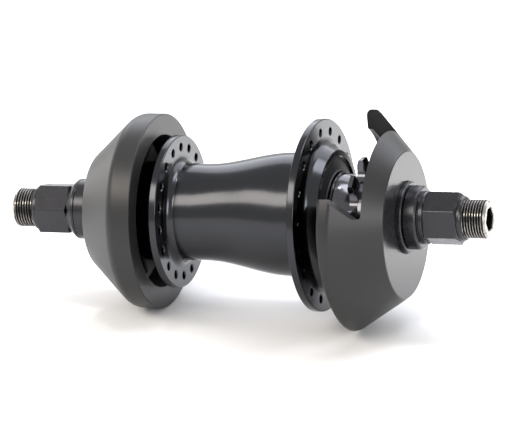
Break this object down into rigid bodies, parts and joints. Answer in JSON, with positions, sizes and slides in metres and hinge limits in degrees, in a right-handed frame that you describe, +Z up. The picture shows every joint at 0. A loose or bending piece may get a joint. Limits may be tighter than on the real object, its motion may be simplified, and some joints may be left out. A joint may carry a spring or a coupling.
{
  "type": "freecoaster hub",
  "caption": "Bicycle rear hub that coasts backwards: flanged shell on bearings, toothed driver with a screw-driven cone clutch, hollow threaded axle, and plastic guards over both flanges.",
  "frame": {"origin": "middle of the axle, on its axis, halfway between the two locknut faces", "axes": "+X along the axle towards the drive side, +Z up as the hub lies in the picture, -Y towards the viewer"},
  "size_m": [0.18, 0.079, 0.0755],
  "materials": {
    "black_steel": "black oxide steel, bright thread crests",
    "plain_steel": "ground steel",
    "spacer_alloy": "turned, natural",
    "guard_plastic": "charcoal, finely textured, moulded nylon",
    "shell_alloy": "polished, black anodised",
    "driver_steel": "polished dark steel",
    "bearing_steel": "ground bearing steel",
    "cage_brass": "pressed cage",
    "seal_rubber": "black seal",
    "shoe_brass": "turned bronze"
  },
  "bodies": {
    "axle_set": {"axle": "black_steel", "drive_axle_nut": "black_steel", "left_axle_nut": "black_steel", "drive_nut_washer": "black_steel", "left_nut_washer": "black_steel", "drive_spacer": "black_steel", "left_spacer": "black_steel", "drive_locknut": "plain_steel", "left_locknut": "plain_steel", "drive_cone": "plain_steel", "left_cone": "plain_steel", "drive_guard": "guard_plastic", "left_guard": "guard_plastic", "drag_sleeve": "spacer_alloy", "inner_spacer": "spacer_alloy", "driver_bearing_inner_tube": "spacer_alloy", "left_bearing_inner_ring": "bearing_steel", "inner_driver_bearing_inner_ring": "bearing_steel", "outer_driver_bearing_inner_ring": "bearing_steel"},
    "shell": {"hub_shell": "shell_alloy", "left_bearing_outer_ring": "bearing_steel", "left_bearing_circlip": "plain_steel", "left_bearing_seal": "seal_rubber", "clutch_ring": "plain_steel", "shell_bearing_outer_ring": "bearing_steel", "shell_bearing_circlip": "plain_steel", "shell_bearing_seal": "seal_rubber"},
    "driver": {"driver": "driver_steel", "shell_bearing_inner_ring": "bearing_steel", "driver_shell_circlip": "plain_steel", "inner_driver_bearing_outer_ring": "bearing_steel", "outer_driver_bearing_outer_ring": "bearing_steel", "driver_bearing_outer_tube": "spacer_alloy", "driver_bearing_circlip": "plain_steel", "driver_bearing_seal": "seal_rubber", "slack_shims": "plain_steel"},
    "drag": {"drag_shoe": "shoe_brass", "drag_spring": "plain_steel"},
    "clutch": {"clutch": "plain_steel"},
    "left_ball_set": {"left_bearing_balls": "bearing_steel", "left_bearing_cage": "cage_brass"},
    "driver_ball_sets": {"inner_driver_bearing_balls": "bearing_steel", "inner_driver_bearing_cage": "cage_brass", "outer_driver_bearing_balls": "bearing_steel", "outer_driver_bearing_cage": "cage_brass"},
    "shell_ball_set": {"shell_bearing_balls": "bearing_steel", "shell_bearing_cage": "cage_brass"}
  },
  "joints": [
    {"name": "shell_spin", "type": "hinge", "parent": "axle_set", "child": "shell", "pos_m": [0, 0, 0], "axis": [1, 0, 0], "continuous": true},
    {"name": "driver_spin", "type": "hinge", "parent": "axle_set", "child": "driver", "pos_m": [0.0437, 0, 0], "axis": [1, 0, 0], "continuous": true},
    {"name": "drag_turn", "type": "hinge", "parent": "driver", "child": "drag", "pos_m": [0, 0, 0], "axis": [1, 0, 0], "range_deg": [0, 45]},
    {"name": "clutch_slide", "type": "slide", "parent": "drag", "child": "clutch", "axis": [-1, 0, 0], "range_m": [0, 0.0025]},
    {"name": "left_balls_roll", "type": "hinge", "parent": "axle_set", "child": "left_ball_set", "pos_m": [-0.0345, 0, 0], "axis": [1, 0, 0], "continuous": true},
    {"name": "driver_balls_roll", "type": "hinge", "parent": "axle_set", "child": "driver_ball_sets", "pos_m": [0.034, 0, 0], "axis": [1, 0, 0], "continuous": true},
    {"name": "shell_balls_roll", "type": "hinge", "parent": "axle_set", "child": "shell_ball_set", "pos_m": [0.0269, 0, 0], "axis": [1, 0, 0], "continuous": true}
  ],
  "couplings": [
    {"joint": "clutch_slide", "follows": "drag_turn", "m_per_rad": 0.0031831},
    {"joint": "left_balls_roll", "follows": "shell_spin", "ratio": 0.5907},
    {"joint": "driver_balls_roll", "follows": "driver_spin", "ratio": 0.5692},
    {"joint": "shell_balls_roll", "follows": "shell_spin", "ratio": 0.55}
  ]
}
